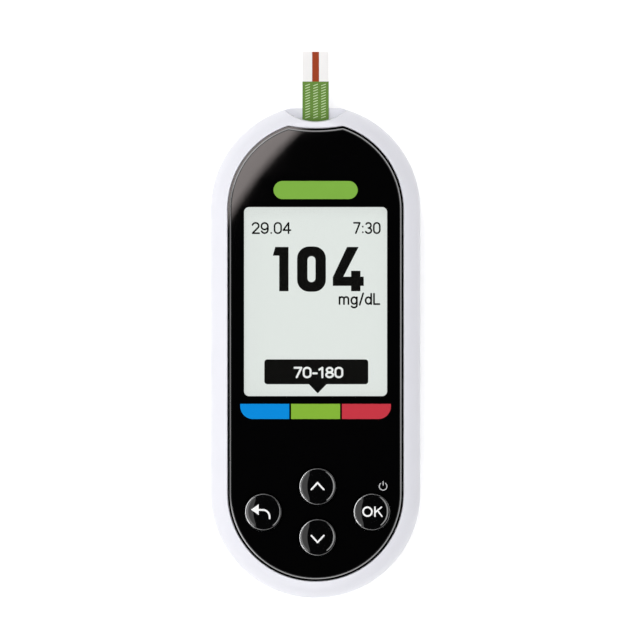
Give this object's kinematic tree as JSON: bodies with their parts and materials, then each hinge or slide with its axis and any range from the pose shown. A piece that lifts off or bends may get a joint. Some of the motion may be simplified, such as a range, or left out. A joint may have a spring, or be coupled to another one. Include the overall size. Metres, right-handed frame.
{
  "type": "blood glucose meter",
  "caption": "Hand-held blood glucose meter: white stadium case, glossy black face with display, range bar and domed keys, sliding battery door and a test strip in its top port",
  "frame": {"origin": "middle of the flat back of the case, on the plane that it rests on", "axes": "+X to the right of the face, +Y along the case towards the strip port, +Z out of the face"},
  "size_m": [0.043, 0.1119, 0.0156],
  "materials": {
    "white_case": "fine satin moulded",
    "steel": "plain",
    "black_gloss": "high gloss",
    "adhesive": "double-sided foam tape",
    "clear_window": "clear polished",
    "range_blue": "gloss print",
    "range_green": "gloss print",
    "range_red": "gloss print",
    "badge_green": "gloss print",
    "silicone": "matt silicone",
    "frame_white": "plain",
    "acrylic": "clear acrylic",
    "led_white": "plain",
    "lcd_glass": "polished",
    "display_grey": "matt film",
    "foam_black": "closed-cell foam",
    "flex_amber": "polyimide film",
    "black_plastic": "plain",
    "board_green": "solder mask",
    "chip_black": "plain",
    "chip_ceramic": "plain",
    "gold_contact": "gold plated",
    "strip_white": "printed film",
    "strip_red": "film over a filled channel",
    "strip_green": "printed film",
    "cell_steel": "plated",
    "ribbon_black": "woven tape"
  },
  "bodies": {
    "meter": {"rear_shell": "white_case", "front_shell": "white_case", "case_screws": "steel", "face_panel": "black_gloss", "panel_adhesive": "adhesive", "display_window": "clear_window", "range_low": "range_blue", "range_mid": "range_green", "range_high": "range_red", "badge_pill": "badge_green", "key_mat": "silicone", "snap_domes": "steel", "lcd_frame": "frame_white", "light_guide": "acrylic", "backlight_leds": "led_white", "lcd_rear_glass": "lcd_glass", "lcd_front_glass": "lcd_glass", "display_film": "display_grey", "display_gasket": "foam_black", "lcd_flex": "flex_amber", "lcd_connector": "black_plastic", "main_board": "board_green", "microcontroller": "chip_black", "memory_chip": "chip_black", "crystal": "steel", "chip_parts": "chip_ceramic", "usb_shell": "steel", "usb_tongue": "black_plastic", "strip_connector": "black_plastic", "strip_springs": "gold_contact", "upper_cell": "cell_steel", "lower_cell": "cell_steel", "roof_springs": "steel", "side_springs": "steel", "battery_ribbon": "ribbon_black"},
    "back_key": {"key_back": "black_gloss", "key_back_boss": "silicone"},
    "up_key": {"key_up": "black_gloss", "key_up_boss": "silicone"},
    "down_key": {"key_down": "black_gloss", "key_down_boss": "silicone"},
    "ok_key": {"key_ok": "black_gloss", "key_ok_boss": "silicone"},
    "door": {"battery_door": "white_case"},
    "test_strip": {"strip_base": "strip_white", "strip_film": "strip_white", "strip_channel": "strip_red", "strip_grip": "strip_green", "strip_pads": "gold_contact"}
  },
  "joints": [
    {"name": "back_press", "type": "slide", "parent": "meter", "child": "back_key", "axis": [0, 0, -1], "range_m": [0, 0.0005], "stiffness_N_per_m": 1500},
    {"name": "up_press", "type": "slide", "parent": "meter", "child": "up_key", "axis": [0, 0, -1], "range_m": [0, 0.0005], "stiffness_N_per_m": 1500},
    {"name": "down_press", "type": "slide", "parent": "meter", "child": "down_key", "axis": [0, 0, -1], "range_m": [0, 0.0005], "stiffness_N_per_m": 1500},
    {"name": "ok_press", "type": "slide", "parent": "meter", "child": "ok_key", "axis": [0, 0, -1], "range_m": [0, 0.0005], "stiffness_N_per_m": 1500},
    {"name": "door_slide", "type": "slide", "parent": "meter", "child": "door", "axis": [0, -1, 0], "range_m": [0, 0.058]},
    {"name": "strip_slide", "type": "slide", "parent": "meter", "child": "test_strip", "axis": [0, 1, 0], "range_m": [0, 0.018]}
  ]
}
